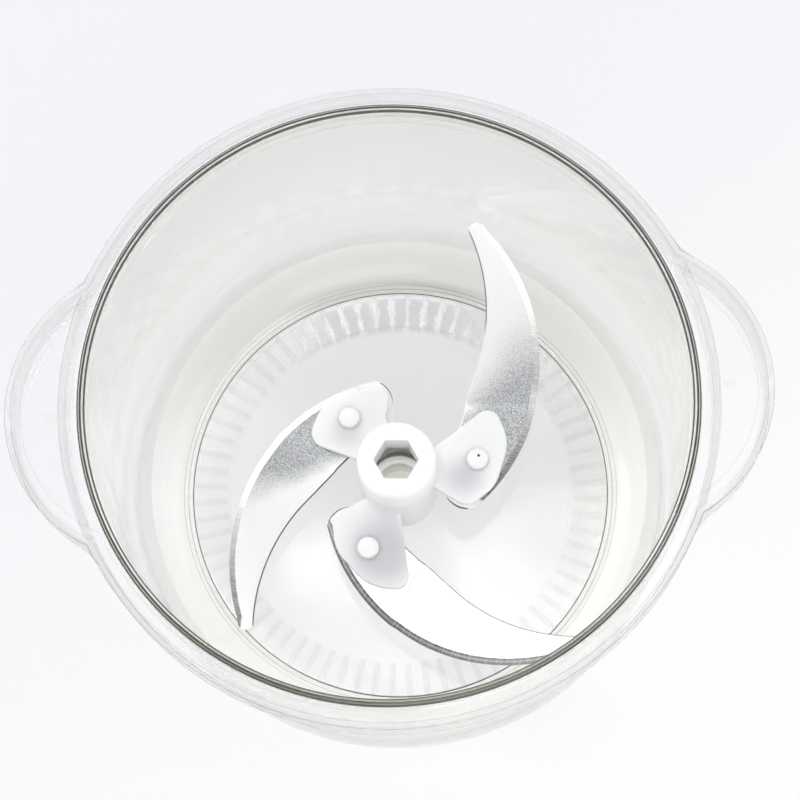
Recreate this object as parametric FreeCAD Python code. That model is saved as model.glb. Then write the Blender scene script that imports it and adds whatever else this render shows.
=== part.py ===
import FreeCAD, Part
import os
from math import asin, atan2, cos, degrees, hypot, radians, sin, sqrt, tan

# All lengths are in millimetres, angles in degrees, +Z is up and the ears lie along X.
# The origin is on the axis of the bowl, at the level of the table.

# Bowl shell
BOWL_HEIGHT = 119.5
LIP_OUTER_R = 85.0
WALL_INNER_R = 82.4
WALL = 2.2
HEEL_ROUND = 16.0
INNER_HEEL_BANDS = 5
OUTER_HEEL_BANDS = 6
FLOOR_TOP = 5.5
FLOOR_UNDER = FLOOR_TOP - WALL

# Flange, skirt and hollow ears
FLANGE_TOP = 117.8
FLANGE_R = 90.84
FLANGE_WEB = 2.0
SKIRT_HEIGHT = 12.0
SKIRT_WALL = 2.0
EAR_CENTRE_X = 63.0
EAR_R = 42.2
EAR_BLEND_R = 20.0
GUSSET_REACH = 3.8
GUSSET_THICK = 2.0

# Stub on the floor
STUB_R = 9.05
STUB_TOP = 15.5
STUB_CORE_R = 6.8
STUB_CORE_TOP = 13.3
STUB_CHAMFER = 0.6

# Ribbed ring under the floor
RING_INNER_R = 55.0
RING_OUTER_R = 68.6
RING_BASE = 1.4
RING_RIBS = 72
RING_RIB_WIDTH = 1.9
RING_RIB_FIRST_R = 55.8
RING_RIB_LAST_R = 66.6

# Running fits and close fits
RUN_GAP = 0.07
PIN_GAP = 0.05

# Sleeve in the foot of the column
BUSH_WALL = 1.08
BUSH_TOP = 15.2

# Column of the blade unit
HUB_R = 12.15
HUB_TOP = 46.5
HUB_CROWN = 1.8
SOCKET_FLATS = 12.0
SOCKET_DEPTH = 10.0
SOCKET_CORNER = -4.15

# Arms and the plates under them: corners of the outline with the stake on +X, each with its rounding
ARM_THICK = 2.2
ARM_WEB = 2.0
ARM_ROOT_R = 11.2
ARM_ROOT_FIRST = 23.5
ARM_ROOT_LAST = -30.5
ARM_CORNERS = [(32.5, 17.2, 4.0), (35.9, 4.5, 14.0), (29.4, -9.1, 12.0), (19.8, -14.5, 3.0)]
PLATE_THICK = 2.0
PLATE_SHRINK = 0.967

# Blades, drawn flat with the stake at the origin, the tip towards +X and the cutting edge on -Y
BLADE_THICK = 1.0
BLADE_BEND_X = 16.0
BLADE_BEND_R = 5.0
BLADE_SWEEP = 83.0
EDGE_CENTRE = (31.1, 38.6)
EDGE_R = 59.2
EDGE_TIP_ANGLE = -47.1
EDGE_ROOT_ANGLE = -141.1
BACK_CENTRE = (47.9, 53.7)
BACK_R = 57.9
BACK_FIRST = -106.7
BACK_LAST = -66.9
TIP_NOSE = (73.4, -1.6)
ROOT_NOSE = (-14.8, 5.6)
ROOT_END = (-11.3, 9.8)
ROOT_HEEL = (4.0, 7.6)
BEVEL_WIDTH = 2.0
BEVEL_DEPTH = 0.65

# Rivets on square stakes, which keep the blades from swivelling
STAKE_RADIUS = 25.04
STAKE_ANGLE = 5.66
STAKE_SIDE = 3.6
RIVET_HEAD_R = 3.5
RIVET_HEAD = 1.2
RIVET_CROWN_R = 2.7
RIVET_CROWN = 0.7

# Level of each blade's upper face, its pitch (up is positive) and its extra sweep
BLADE_STATIONS = {
    "top": {"turn": 0, "level": 29.1, "pitch": 18.2, "sweep": 0.0},
    "bottom": {"turn": 120, "level": 20.1, "pitch": -7.6, "sweep": 33.0},
    "middle": {"turn": 240, "level": 24.6, "pitch": 12.6, "sweep": 3.6},
}

UP = FreeCAD.Vector(0, 0, 1)
ORIGIN = FreeCAD.Vector(0, 0, 0)


def in_plan(x, y):
    """A point of an outline drawn in the XY plane."""
    return FreeCAD.Vector(x, y, 0)


def in_section(r, z):
    """A point of a half section drawn in the XZ plane."""
    return FreeCAD.Vector(r, 0, z)


def on_circle(centre, radius, angle):
    """The point of a circle at an angle from +X."""
    return centre[0] + radius * cos(radians(angle)), centre[1] + radius * sin(radians(angle))


class Pen:
    """Draws one closed face out of straight lines and circular arcs."""

    def __init__(self, place, start):
        self.place = place
        self.start = start
        self.here = start
        self.edges = []

    def line(self, x, y):
        if hypot(x - self.here[0], y - self.here[1]) > 1e-6:
            self.edges.append(Part.makeLine(self.place(*self.here), self.place(x, y)))
        self.here = (x, y)

    def arc(self, via, end):
        bow = Part.Arc(self.place(*self.here), self.place(*via), self.place(*end))
        self.edges.append(bow.toShape())
        self.here = end

    def round_corner(self, corner, towards, radius):
        """Goes towards a corner and round it with a tangent arc, ready to go on to the next one."""
        sides = []
        for end in (self.here, towards):
            span = hypot(end[0] - corner[0], end[1] - corner[1])
            sides.append(((end[0] - corner[0]) / span, (end[1] - corner[1]) / span))
        middle = (sides[0][0] + sides[1][0], sides[0][1] + sides[1][1])
        spread = hypot(*middle)
        half = asin(sqrt(1 - (spread / 2) ** 2))
        reach = radius / tan(half)
        bow = radius / sin(half) - radius
        via = (corner[0] + middle[0] / spread * bow, corner[1] + middle[1] / spread * bow)
        self.line(corner[0] + sides[0][0] * reach, corner[1] + sides[0][1] * reach)
        self.arc(via, (corner[0] + sides[1][0] * reach, corner[1] + sides[1][1] * reach))

    def turn(self, centre, radius, first, last):
        """Goes straight to the arc's first point, then round to its last one."""
        self.line(*on_circle(centre, radius, first))
        self.arc(on_circle(centre, radius, (first + last) / 2), on_circle(centre, radius, last))

    def face(self):
        self.line(*self.start)
        return Part.Face(Part.Wire(self.edges))


def spun(face):
    """Solid of revolution of a half section about the upright axis."""
    return face.revolve(ORIGIN, UP, 360)


def prism(face, low, high):
    """Upright prism of a plan outline between two levels."""
    raised = face.copy()
    raised.translate(FreeCAD.Vector(0, 0, low))
    return raised.extrude(FreeCAD.Vector(0, 0, high - low))


def disc(radius, low, high):
    return Part.makeCylinder(radius, high - low, FreeCAD.Vector(0, 0, low))


def bowl_shell():
    """Wall, heel, floor, lip and stub in one half section."""
    heel = (WALL_INNER_R - HEEL_ROUND, FLOOR_TOP + HEEL_ROUND)
    outer = HEEL_ROUND + WALL
    pen = Pen(in_section, (0, STUB_CORE_TOP))
    pen.line(STUB_CORE_R, STUB_CORE_TOP)
    pen.line(STUB_CORE_R, FLOOR_UNDER)
    for band in range(OUTER_HEEL_BANDS + 1):
        pen.line(*on_circle(heel, outer, -90 + 90 * band / OUTER_HEEL_BANDS))
    pen.line(heel[0] + outer, FLANGE_TOP)
    pen.line(LIP_OUTER_R, FLANGE_TOP)
    pen.line(LIP_OUTER_R, BOWL_HEIGHT)
    pen.line(WALL_INNER_R, BOWL_HEIGHT)
    for band in range(INNER_HEEL_BANDS + 1):
        pen.line(*on_circle(heel, HEEL_ROUND, -90 * band / INNER_HEEL_BANDS))
    pen.line(STUB_R, FLOOR_TOP)
    pen.line(STUB_R, STUB_TOP - STUB_CHAMFER)
    pen.line(STUB_R - STUB_CHAMFER, STUB_TOP)
    pen.line(0, STUB_TOP)
    return spun(pen.face())


def blend_centre():
    """Centre of the hollow blend between the flange circle and an ear."""
    to_axis = FLANGE_R + EAR_BLEND_R
    to_ear = EAR_R + EAR_BLEND_R
    x = (to_axis ** 2 - to_ear ** 2 + EAR_CENTRE_X ** 2) / (2 * EAR_CENTRE_X)
    return x, sqrt(to_axis ** 2 - x ** 2)


def eared_outline(inset):
    """Flange outline with both ears, moved inward by inset."""
    x, y = blend_centre()
    ear = degrees(atan2(y, x - EAR_CENTRE_X))
    axis = degrees(atan2(y, x))
    pen = Pen(in_plan, on_circle((EAR_CENTRE_X, 0), EAR_R - inset, -ear))
    hollow = EAR_BLEND_R + inset
    for side in (0, 180):
        turned = 1 if side == 0 else -1
        pen.turn((turned * EAR_CENTRE_X, 0), EAR_R - inset, side - ear, side + ear)
        pen.turn((turned * x, turned * y), hollow, side + 180 + ear, side + 180 + axis)
        pen.turn((0, 0), FLANGE_R - inset, side + axis, side + 180 - axis)
        pen.turn((-turned * x, turned * y), hollow, side - axis, side - ear)
    return pen.face()


def skirt_under_ear(side):
    """The round skirt goes on under each ear and closes the grip pocket."""
    x, y = blend_centre()
    half = degrees(atan2(y, x)) - 0.5
    thin = 0.05
    outer = FLANGE_R - thin
    inner = FLANGE_R - SKIRT_WALL + thin
    low = FLANGE_TOP - SKIRT_HEIGHT
    pen = Pen(in_plan, on_circle((0, 0), inner, half))
    pen.turn((0, 0), inner, half, -half)
    pen.turn((0, 0), outer, -half, half)
    wall = prism(pen.face(), low, FLANGE_TOP - FLANGE_WEB / 2)
    wall.rotate(ORIGIN, UP, side)
    return wall


def ear_gusset(side):
    """Small three-cornered rib between the skirt and the ear's web."""
    top = FLANGE_TOP - FLANGE_WEB / 2
    pen = Pen(in_section, (FLANGE_R - 1, top))
    pen.line(FLANGE_R + GUSSET_REACH, top)
    pen.line(FLANGE_R + GUSSET_REACH, FLANGE_TOP - FLANGE_WEB - 1)
    pen.line(FLANGE_R - 1, FLANGE_TOP - SKIRT_HEIGHT + 2)
    rib = pen.face().extrude(FreeCAD.Vector(0, GUSSET_THICK, 0))
    rib.translate(FreeCAD.Vector(0, -GUSSET_THICK / 2, 0))
    rib.rotate(ORIGIN, UP, side)
    return rib


def flange_and_ears():
    """Flat flange with a turned-down skirt that swings out round each ear."""
    low = FLANGE_TOP - SKIRT_HEIGHT
    cap = prism(eared_outline(0), low, FLANGE_TOP)
    hollow = prism(eared_outline(SKIRT_WALL), low - 1, FLANGE_TOP - FLANGE_WEB)
    cap = cap.cut(hollow)
    cap = cap.cut(disc(LIP_OUTER_R - WALL / 2, low - 1, FLANGE_TOP + 1))
    for side in (0, 180):
        cap = cap.fuse([skirt_under_ear(side), ear_gusset(side)])
    return cap


def bowl():
    return bowl_shell().fuse(flange_and_ears())


def anti_slip_ring():
    """Soft ring under the floor whose radial ribs bear on the floor."""
    ring = disc(RING_OUTER_R, 0, RING_BASE).cut(disc(RING_INNER_R, -1, RING_BASE + 1))
    length = RING_RIB_LAST_R - RING_RIB_FIRST_R
    ribs = []
    for number in range(RING_RIBS):
        corner = FreeCAD.Vector(RING_RIB_FIRST_R, -RING_RIB_WIDTH / 2, RING_BASE / 2)
        rib = Part.makeBox(length, RING_RIB_WIDTH, FLOOR_UNDER - RING_BASE / 2, corner)
        rib.rotate(ORIGIN, UP, 360 * number / RING_RIBS)
        ribs.append(rib)
    return ring.fuse(ribs)


def hub_bush():
    """Plain sleeve in the foot of the column that runs on the stub."""
    inner = STUB_R + RUN_GAP
    return disc(inner + BUSH_WALL, FLOOR_TOP, BUSH_TOP).cut(disc(inner, 0, BUSH_TOP + 1))


def hex_prism(flats, low, high):
    corner_r = flats / sqrt(3)
    points = []
    for number in range(7):
        points.append(in_plan(*on_circle((0, 0), corner_r, SOCKET_CORNER + 60 * number)))
    return prism(Part.Face(Part.makePolygon(points)), low, high)


def column():
    """Tube that turns on the sleeve, closed above by the six-sided drive socket."""
    bore = STUB_R + BUSH_WALL + 2 * RUN_GAP
    pen = Pen(in_section, (bore, FLOOR_TOP))
    pen.line(HUB_R, FLOOR_TOP)
    pen.line(HUB_R, HUB_TOP - HUB_CROWN)
    pen.line(HUB_R - HUB_CROWN, HUB_TOP)
    pen.line(0, HUB_TOP)
    pen.line(0, HUB_TOP - SOCKET_DEPTH)
    pen.line(bore, HUB_TOP - SOCKET_DEPTH)
    return spun(pen.face()).cut(hex_prism(SOCKET_FLATS, HUB_TOP - SOCKET_DEPTH - 1, HUB_TOP + 1))


def kidney(root_r, scale):
    """Arm outline with its stake on +X: a kidney that leans against the blade's sweep."""
    first = on_circle((0, 0), root_r, ARM_ROOT_FIRST)
    last = on_circle((0, 0), root_r, ARM_ROOT_LAST)
    corners = []
    for x, y, _ in ARM_CORNERS:
        corners.append((STAKE_RADIUS + (x - STAKE_RADIUS) * scale, y * scale))
    pen = Pen(in_plan, first)
    for number, corner in enumerate(corners):
        towards = (corners + [last])[number + 1]
        pen.round_corner(corner, towards, ARM_CORNERS[number][2])
    pen.line(*last)
    pen.turn((0, 0), root_r, ARM_ROOT_LAST, ARM_ROOT_FIRST)
    return pen.face()


def stake(gap, low, high):
    """Square bar through arm, blade and plate, its sides moved out by a gap."""
    side = STAKE_SIDE + 2 * gap
    return Part.makeBox(side, side, high - low, FreeCAD.Vector(STAKE_RADIUS - side / 2, -side / 2, low))


def arm(level):
    """Kidney plate on the blade, with a sloped web where it meets the column."""
    top = level + ARM_THICK
    outline = kidney(ARM_ROOT_R, 1)
    web = Part.makeCone(HUB_R + ARM_WEB, HUB_R, ARM_WEB, FreeCAD.Vector(0, 0, top))
    web = web.common(prism(outline, top, top + ARM_WEB))
    return prism(outline, level, top).fuse(web).cut(stake(PIN_GAP, level - 1, top + 1))


def clamp_plate(level):
    """Plate that holds the blade's root up against the arm."""
    under = level - BLADE_THICK
    plate = prism(kidney(HUB_R + PIN_GAP, PLATE_SHRINK), under - PLATE_THICK, under)
    return plate.cut(stake(PIN_GAP, under - PLATE_THICK - 1, under + 1))


def at_station(shape, station):
    """Turns a shape drawn with its stake on +X to its own place round the column."""
    shape.rotate(ORIGIN, UP, STAKE_ANGLE + station["turn"])
    return shape


def blade_hub():
    hub = column()
    for station in BLADE_STATIONS.values():
        hub = hub.fuse(at_station(arm(station["level"]), station))
    return hub.removeSplitter()


def flat_blade():
    """Flat blade with its long convex edge ground to a bevel."""
    land = BLADE_THICK - BEVEL_DEPTH
    pen = Pen(in_plan, on_circle(BACK_CENTRE, BACK_R, BACK_LAST))
    pen.arc(TIP_NOSE, on_circle(EDGE_CENTRE, EDGE_R, EDGE_TIP_ANGLE))
    pen.turn(EDGE_CENTRE, EDGE_R, EDGE_TIP_ANGLE, EDGE_ROOT_ANGLE)
    pen.arc(ROOT_NOSE, ROOT_END)
    pen.line(*ROOT_HEEL)
    pen.turn(BACK_CENTRE, BACK_R, BACK_FIRST, BACK_LAST)
    plate = prism(pen.face(), 0, BLADE_THICK)
    slope = BEVEL_WIDTH / BEVEL_DEPTH
    over = 1.0
    below = EDGE_R + slope * (land + over)
    above = EDGE_R - BEVEL_WIDTH - slope * over
    ground = Part.makeCone(below, above, BLADE_THICK + 2 * over, FreeCAD.Vector(*EDGE_CENTRE, -over))
    return plate.common(ground)


def bent(plate, pitch):
    """Bends the plate across the line just outside the arm."""
    reach = 200
    beyond = Part.makeBox(reach, reach, reach, FreeCAD.Vector(BLADE_BEND_X, -reach / 2, -reach / 2))
    root = plate.cut(beyond)
    swept = plate.common(beyond)
    section = None
    for face in root.Faces:
        if face.BoundBox.XMin > BLADE_BEND_X - 1e-4:
            section = face.toNurbs().Faces[0]
    if pitch > 0:
        pivot = FreeCAD.Vector(BLADE_BEND_X, 0, BLADE_THICK + BLADE_BEND_R)
    else:
        pivot = FreeCAD.Vector(BLADE_BEND_X, 0, -BLADE_BEND_R)
    across = FreeCAD.Vector(0, -1, 0)
    bend = section.revolve(pivot, across, pitch)
    swept.rotate(pivot, across, pitch)
    return root.fuse([bend, swept]).removeSplitter()


def blade(station):
    """One blade, bent to its pitch, swept round its stake and put under its arm."""
    shape = bent(flat_blade(), station["pitch"])
    shape.rotate(ORIGIN, UP, BLADE_SWEEP + station["sweep"])
    under = station["level"] - BLADE_THICK
    shape.translate(FreeCAD.Vector(STAKE_RADIUS, 0, under))
    return at_station(shape.cut(stake(PIN_GAP, under - 1, station["level"] + 1)), station)


def blade_rivet(station):
    """Rivet with a crowned head above the arm, its foot flush with the plate."""
    top = station["level"] + ARM_THICK
    under = station["level"] - BLADE_THICK - PLATE_THICK
    pen = Pen(in_section, (0, top))
    pen.line(RIVET_HEAD_R, top)
    pen.line(RIVET_HEAD_R, top + RIVET_HEAD)
    pen.line(RIVET_CROWN_R, top + RIVET_HEAD + RIVET_CROWN)
    pen.line(0, top + RIVET_HEAD + RIVET_CROWN)
    head = spun(pen.face())
    head.translate(FreeCAD.Vector(STAKE_RADIUS, 0, 0))
    return at_station(stake(0, under, top).fuse(head), station)


def all_parts():
    parts = {
        "bowl": bowl(),
        "anti_slip_ring": anti_slip_ring(),
        "hub_bush": hub_bush(),
        "blade_hub": blade_hub(),
    }
    for name, station in BLADE_STATIONS.items():
        parts["blade_" + name] = blade(station)
        parts["clamp_plate_" + name] = at_station(clamp_plate(station["level"]), station)
        parts["blade_rivet_" + name] = blade_rivet(station)
    return parts


def save(name, shape):
    if len(shape.Solids) != 1 or not shape.isValid():
        raise ValueError(name + " is not one sound solid")
    shape.Solids[0].exportStep("parts/" + name + ".step")
    print(name, round(shape.Volume / 1000, 2), "cm3")


os.makedirs("parts", exist_ok=True)
for part_name, part_shape in all_parts().items():
    save(part_name, part_shape)
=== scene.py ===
from math import asin, atan2, cos, hypot, pi, radians, sin, sqrt, tan

import bmesh
import bpy
from mathutils import Matrix, Vector


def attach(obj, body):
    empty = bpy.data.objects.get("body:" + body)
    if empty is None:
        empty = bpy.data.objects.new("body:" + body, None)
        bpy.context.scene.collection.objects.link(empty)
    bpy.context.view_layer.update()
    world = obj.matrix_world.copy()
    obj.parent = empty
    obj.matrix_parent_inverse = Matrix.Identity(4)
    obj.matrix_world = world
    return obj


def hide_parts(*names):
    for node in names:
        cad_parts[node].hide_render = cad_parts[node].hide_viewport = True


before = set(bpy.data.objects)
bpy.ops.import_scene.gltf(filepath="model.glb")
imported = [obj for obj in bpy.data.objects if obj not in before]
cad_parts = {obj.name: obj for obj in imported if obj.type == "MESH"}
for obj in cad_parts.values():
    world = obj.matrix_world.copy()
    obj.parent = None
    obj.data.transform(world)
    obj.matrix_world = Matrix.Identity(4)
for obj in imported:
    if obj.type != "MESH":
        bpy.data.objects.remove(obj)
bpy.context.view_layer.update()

bl_info = {
    "name": "Clear chopper bowl",
    "version": (1, 0, 0),
    "blender": (4, 5, 0),
    "location": "3D View > Sidebar > Bowl",
    "description": "Dresses a clear two-eared chopper bowl and its three-blade rotor",
    "category": "Object",
}

MM = 0.001


# Node trees

def wired(operation, swapped=False):
    """An operator method that adds one Math node."""
    def method(self, *others):
        values = (self,) + others
        return self.graph.math(operation, *(values[::-1] if swapped else values))
    return method


class Wire:
    """An output socket of a node tree. Its operators add Math nodes."""

    def __init__(self, graph, socket):
        self.graph = graph
        self.socket = socket

    def math(self, operation, *values):
        return self.graph.math(operation, self, *values)

    def __neg__(self):
        return 0.0 - self

    __add__ = wired("ADD")
    __radd__ = wired("ADD", swapped=True)
    __sub__ = wired("SUBTRACT")
    __rsub__ = wired("SUBTRACT", swapped=True)
    __mul__ = wired("MULTIPLY")
    __rmul__ = wired("MULTIPLY", swapped=True)
    __truediv__ = wired("DIVIDE")
    __pow__ = wired("POWER")
    __abs__ = wired("ABSOLUTE")


def colour_of(tone):
    """Opaque colour of a grey or of three shares."""
    shares = (tone, tone, tone) if isinstance(tone, float) else tuple(tone)
    return shares + (1.0,)


def scaled_colour(colour, share):
    return colour_of([value * share for value in colour])


class Graph:
    """A node tree that is being built."""

    def __init__(self, tree):
        self.tree = tree

    def node(self, kind, settings=None, inputs=None):
        """Adds a node: its settings first, then the values or links of its sockets."""
        node = self.tree.nodes.new(kind)
        for name, value in (settings or {}).items():
            if name == "stops":
                ramp = node.color_ramp.elements
                while len(ramp) < len(value):
                    ramp.new(0.5)
                for stop, (place, colour) in zip(ramp, value):
                    stop.position = place
                    stop.color = colour
            else:
                setattr(node, name, value)
        for name, value in (inputs or {}).items():
            if isinstance(value, Wire):
                self.tree.links.new(value.socket, node.inputs[name])
            else:
                node.inputs[name].default_value = value
        return node

    def add(self, kind, settings=None, inputs=None, output=0):
        """Adds a node and gives the wire of one of its outputs."""
        return Wire(self, self.node(kind, settings, inputs).outputs[output])

    def math(self, operation, *values):
        return self.add("ShaderNodeMath", {"operation": operation}, dict(enumerate(values)))

    def combine(self, x, y, z):
        return self.add("ShaderNodeCombineXYZ", None, {"X": x, "Y": y, "Z": z})

    def separate(self, vector):
        node = self.node("ShaderNodeSeparateXYZ", None, {"Vector": vector})
        return [Wire(self, socket) for socket in node.outputs]

    def scaled(self, vector, factors):
        return self.add("ShaderNodeVectorMath", {"operation": "MULTIPLY"}, {0: vector, 1: factors})

    def step(self, value, low, high):
        """Rises smoothly from 0 at low to 1 at high."""
        if high > low:
            ends = {"From Min": low, "From Max": high, "To Min": 0.0, "To Max": 1.0}
        else:
            ends = {"From Min": high, "From Max": low, "To Min": 1.0, "To Max": 0.0}
        ends["Value"] = value
        return self.add("ShaderNodeMapRange", {"interpolation_type": "SMOOTHSTEP"}, ends)

    def mix(self, factor, first, second):
        """Mixes two colours."""
        return self.add("ShaderNodeMix", {"data_type": "RGBA"}, {0: factor, 6: first, 7: second}, 2)

    def distance(self, vector, spot):
        return self.add("ShaderNodeVectorMath", {"operation": "DISTANCE"}, {0: vector, 1: spot}, "Value")

    def noise(self, vector, scale, detail=2.0, roughness=0.5):
        values = {"Vector": vector, "Scale": scale, "Detail": detail, "Roughness": roughness}
        return self.add("ShaderNodeTexNoise", None, values)

    def line(self, value, centre, half):
        """Is 1 on a fine line about centre and 0 away from it."""
        return self.step(abs(value - centre), half * 1.3, half * 0.6)

    def band(self, value, low, high, soft):
        """Is 1 between low and high and fades over soft on either side."""
        return self.step(value, low - soft, low + soft) * self.step(value, high + soft, high - soft)

    def ramp(self, value, span, stops):
        """Colours along a value: each stop is a place in millimetres, and a grey or a colour."""
        colours = [(place * MM / span, colour_of(tone)) for place, tone in stops]
        return self.add("ShaderNodeValToRGB", {"stops": colours}, {"Fac": value / span})

    def bump(self, height, distance, strength=1.0):
        values = {"Height": height, "Distance": distance, "Strength": strength}
        return self.add("ShaderNodeBump", None, values)


class Finish(Graph):
    """The node tree of one material."""

    def __init__(self, name):
        self.material = bpy.data.materials.new(name)
        self.material.use_nodes = True
        super().__init__(self.material.node_tree)
        self.tree.nodes.clear()

    def place(self):
        """Object coordinates, in metres."""
        return self.add("ShaderNodeTexCoord", output="Object")

    def end(self, shader):
        self.node("ShaderNodeOutputMaterial", None, {"Surface": shader})
        return self.material

    def clear(self, surface, clearness, shade):
        """Ends in a clear shader that lets lamp light straight through, tinted by shade."""
        surface["Transmission Weight"] = clearness
        solid = self.add("ShaderNodeBsdfPrincipled", None, surface)
        light = self.add("ShaderNodeBsdfTransparent", None, {"Color": shade})
        shadow = self.add("ShaderNodeLightPath", output="Is Shadow Ray")
        return self.end(self.add("ShaderNodeMixShader", None, {0: shadow, 1: solid, 2: light}))

    def solid(self, surface):
        return self.end(self.add("ShaderNodeBsdfPrincipled", None, surface))


class Rule(Graph):
    """The Geometry Nodes tree of one kind of piece, with named inputs for its sizes."""

    KINDS = {float: "NodeSocketFloat", int: "NodeSocketInt"}

    def __init__(self, name, sizes):
        super().__init__(bpy.data.node_groups.new(name, "GeometryNodeTree"))
        self.sizes = sizes
        face = self.tree.interface
        face.new_socket("Geometry", in_out="INPUT", socket_type="NodeSocketGeometry")
        for label, value in sizes.items():
            face.new_socket(label, in_out="INPUT", socket_type=self.KINDS[type(value)])
        face.new_socket("Geometry", in_out="OUTPUT", socket_type="NodeSocketGeometry")
        source = self.node("NodeGroupInput")
        self.given = {socket.name: Wire(self, socket) for socket in source.outputs if socket.name}

    def moved(self, geometry, **place):
        return self.add("GeometryNodeTransform", None, {"Geometry": geometry, **place})

    def shaped(self, geometry, position):
        return self.add("GeometryNodeSetPosition", None, {"Geometry": geometry, "Position": position})

    def joined(self, *parts):
        join = self.node("GeometryNodeJoinGeometry")
        for wire in parts:
            self.tree.links.new(wire.socket, join.inputs[0])
        return Wire(self, join.outputs[0])

    def spots(self, number):
        """As many points as asked, all at the origin."""
        values = {"Count": number, "Offset": (0.0, 0.0, 0.0)}
        return self.add("GeometryNodeMeshLine", {"mode": "OFFSET"}, values)

    def copies(self, points, geometry, rotation):
        values = {"Points": points, "Instance": geometry, "Rotation": rotation}
        return self.add("GeometryNodeInstanceOnPoints", None, values)

    def end(self, geometry, material):
        """Real geometry and its material come last."""
        real = self.add("GeometryNodeRealizeInstances", None, {"Geometry": geometry})
        painted = self.add("GeometryNodeSetMaterial", None, {"Geometry": real, "Material": material})
        self.node("NodeGroupOutput", None, {"Geometry": painted})

    def make(self, name, mesh=None):
        """Runs the tree on a mesh and gives the plain mesh object that comes out."""
        carrier = placed(name, mesh or bpy.data.meshes.new(name))
        modifier = carrier.modifiers.new("Rule", "NODES")
        modifier.node_group = self.tree
        for item in self.tree.interface.items_tree:
            if item.in_out == "INPUT" and item.name in self.sizes:
                modifier[item.identifier] = self.sizes[item.name]
        return baked(carrier)


# Meshes

def baked(carrier):
    """Replaces an object by its evaluated mesh, without modifiers."""
    graph = bpy.context.evaluated_depsgraph_get()
    mesh = bpy.data.meshes.new_from_object(carrier.evaluated_get(graph))
    name = carrier.name
    carrier.modifiers.clear()
    carrier.data = mesh
    mesh.name = name
    return carrier


def placed(name, mesh, material=None):
    if material:
        mesh.materials.append(material)
    piece = bpy.data.objects.new(name, mesh)
    bpy.context.scene.collection.objects.link(piece)
    return piece


def smooth(mesh, angle=35):
    """Shades a mesh smooth, apart from edges sharper than the angle."""
    mesh.shade_smooth()
    mesh.set_sharp_from_angle(angle=radians(angle))


def closed(work, name):
    """Makes a mesh of a bmesh, with its doubles merged and its faces pointing outwards."""
    bmesh.ops.remove_doubles(work, verts=work.verts, dist=1e-7)
    loose = [face for face in work.faces if face.calc_area() < 1e-14]
    bmesh.ops.delete(work, geom=loose, context="FACES_ONLY")
    bmesh.ops.recalc_face_normals(work, faces=work.faces)
    mesh = bpy.data.meshes.new(name)
    work.to_mesh(mesh)
    work.free()
    return mesh


def on_circle(centre, radius, angle):
    return centre[0] + radius * cos(angle), centre[1] + radius * sin(angle)


def arc(centre, radius, first, last, steps):
    """Points of an arc, angles in degrees."""
    turns = [radians(first + (last - first) * n / steps) for n in range(steps + 1)]
    return [on_circle(centre, radius, turn) for turn in turns]


def through(first, via, last, steps):
    """Points of the arc through three points."""
    (ax, ay), (bx, by), (cx, cy) = first, via, last
    d = 2 * (ax * (by - cy) + bx * (cy - ay) + cx * (ay - by))
    a, b, c = ax * ax + ay * ay, bx * bx + by * by, cx * cx + cy * cy
    ux = (a * (by - cy) + b * (cy - ay) + c * (ay - by)) / d
    uy = (a * (cx - bx) + b * (ax - cx) + c * (bx - ax)) / d
    begin = atan2(ay - uy, ax - ux)
    middle = (atan2(by - uy, bx - ux) - begin) % (2 * pi)
    end = (atan2(cy - uy, cx - ux) - begin) % (2 * pi)
    if middle > end:
        end -= 2 * pi
    radius = hypot(ax - ux, ay - uy)
    return [on_circle((ux, uy), radius, begin + end * n / steps) for n in range(steps + 1)]


def tangent_corner(before, corner, after, radius, steps):
    """Points of the arc that rounds a corner."""
    ends = []
    for x, y in (before, after):
        span = hypot(x - corner[0], y - corner[1])
        ends.append(((x - corner[0]) / span, (y - corner[1]) / span))
    middle = (ends[0][0] + ends[1][0], ends[0][1] + ends[1][1])
    spread = hypot(*middle)
    half = asin(sqrt(1 - (spread / 2) ** 2))
    reach = radius / tan(half)
    bow = radius / sin(half) - radius
    points = [(corner[0] + e[0] * reach, corner[1] + e[1] * reach) for e in ends]
    via = (corner[0] + middle[0] / spread * bow, corner[1] + middle[1] / spread * bow)
    return through(points[0], via, points[1], steps)


def revolved(work, profile, steps):
    """Adds a surface of revolution of a profile from axis to axis."""
    rings = []
    for radius, level in profile:
        if radius < 1e-9:
            rings.append([work.verts.new((0, 0, level))] * steps)
        else:
            turns = [2 * pi * n / steps for n in range(steps)]
            rings.append([work.verts.new((radius * cos(t), radius * sin(t), level)) for t in turns])
    for low, high in zip(rings, rings[1:]):
        for n in range(steps):
            m = (n + 1) % steps
            corners = list(dict.fromkeys([low[n], low[m], high[m], high[n]]))
            if len(corners) > 2:
                work.faces.new(corners)


def plate(work, outline, low, high):
    """Adds an upright prism of an outline."""
    under = [work.verts.new((x, y, low)) for x, y in outline]
    over = [work.verts.new((x, y, high)) for x, y in outline]
    work.faces.new(under[::-1])
    work.faces.new(over)
    for n in range(len(outline)):
        m = (n + 1) % len(outline)
        work.faces.new([under[n], under[m], over[m], over[n]])


# Sizes and colours that a user would change

def length(name, description, millimetres):
    return bpy.props.FloatProperty(
        name=name, description=description, default=millimetres * MM, unit="LENGTH", subtype="DISTANCE"
    )


def turn(name, description, angle):
    return bpy.props.FloatProperty(
        name=name, description=description, default=radians(angle), unit="ROTATION", subtype="ANGLE"
    )


def count(name, description, number):
    return bpy.props.IntProperty(name=name, description=description, default=number, min=3)


def colour(name, description, value):
    return bpy.props.FloatVectorProperty(
        name=name, description=description, default=value, subtype="COLOR", size=3, min=0, max=1
    )


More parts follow.
